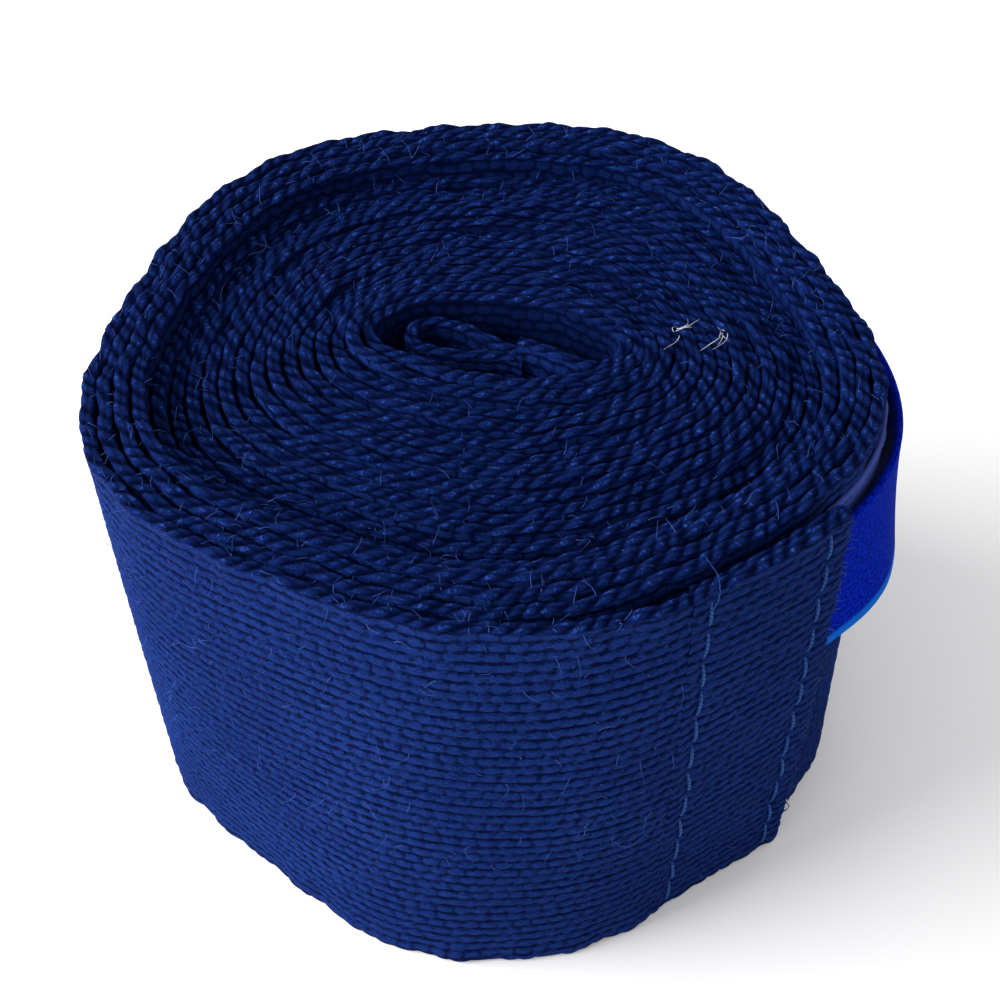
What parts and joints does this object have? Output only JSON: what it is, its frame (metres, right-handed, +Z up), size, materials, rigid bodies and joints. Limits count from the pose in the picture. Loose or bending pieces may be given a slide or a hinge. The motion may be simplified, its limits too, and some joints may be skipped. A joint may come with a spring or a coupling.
{
  "type": "rolled hand wrap",
  "caption": "Woven cotton hand wrap rolled up on its thumb loop and closed by a hook tape tab; stands on its edge.",
  "frame": {"origin": "middle of the roll's outline, on the edge it stands on", "axes": "+Z up along the roll's axis, +X towards the closure tab, -Y towards the hem side"},
  "size_m": [0.072, 0.0682, 0.05],
  "materials": {
    "band_cotton": "matte woven cotton",
    "hook_tape": "dark napped tape",
    "loop_pile": "brushed loop pile",
    "thread": "spun sewing thread"
  },
  "bodies": {
    "roll": {"band_core_turn": "band_cotton", "band_inner_turns": "band_cotton", "band_outer_turns": "band_cotton", "loop_patch": "loop_pile", "patch_stitch_end": "thread", "patch_stitch_top": "thread", "patch_stitch_bottom": "thread", "thumb_loop_tack": "thread"},
    "leaf_left": {"band_leaf_left": "band_cotton"},
    "leaf_front": {"band_leaf_front": "band_cotton"},
    "leaf_end": {"band_leaf_end": "band_cotton", "hem_fold": "band_cotton", "hook_tape_root": "hook_tape", "hem_stitch_inner": "thread", "hem_stitch_outer": "thread"},
    "tab_near": {"hook_tape_near": "hook_tape"},
    "tab_middle": {"hook_tape_middle": "hook_tape"},
    "tab_tip": {"hook_tape_tip": "hook_tape"},
    "thumb_loop": {"thumb_loop": "band_cotton"}
  },
  "joints": [
    {"name": "outer_turn_unroll", "type": "hinge", "parent": "roll", "child": "leaf_left", "pos_m": [-0.0343, 0.00572, 0.025], "axis": [0, 0, -1], "range_deg": [0, 50]},
    {"name": "outer_turn_unroll_front", "type": "hinge", "parent": "leaf_left", "child": "leaf_front", "pos_m": [-0.02588, -0.02297, 0.025], "axis": [0, 0, -1], "range_deg": [0, 50]},
    {"name": "outer_turn_unroll_end", "type": "hinge", "parent": "leaf_front", "child": "leaf_end", "pos_m": [0.00153, -0.03403, 0.025], "axis": [0, 0, -1], "range_deg": [0, 50]},
    {"name": "closure_tab_peel", "type": "hinge", "parent": "leaf_end", "child": "tab_near", "pos_m": [0.02755, -0.02149, 0.038], "axis": [0, 0, -1], "range_deg": [0, 60]},
    {"name": "closure_tab_peel_middle", "type": "hinge", "parent": "tab_near", "child": "tab_middle", "pos_m": [0.0354, -0.00954, 0.038], "axis": [0, 0, -1], "range_deg": [0, 30]},
    {"name": "closure_tab_peel_tip", "type": "hinge", "parent": "tab_middle", "child": "tab_tip", "pos_m": [0.03437, 0.00458, 0.038], "axis": [0, 0, -1], "range_deg": [0, 30]},
    {"name": "thumb_loop_swing", "type": "hinge", "parent": "roll", "child": "thumb_loop", "pos_m": [0.00203, 0.00126, 0.025], "axis": [0, 0, -1], "range_deg": [-6, 4]}
  ],
  "couplings": [
    {"joint": "outer_turn_unroll_front", "follows": "outer_turn_unroll", "ratio": 1},
    {"joint": "outer_turn_unroll_end", "follows": "outer_turn_unroll", "ratio": 1},
    {"joint": "closure_tab_peel_middle", "follows": "closure_tab_peel", "ratio": 0.5},
    {"joint": "closure_tab_peel_tip", "follows": "closure_tab_peel", "ratio": 0.5}
  ]
}
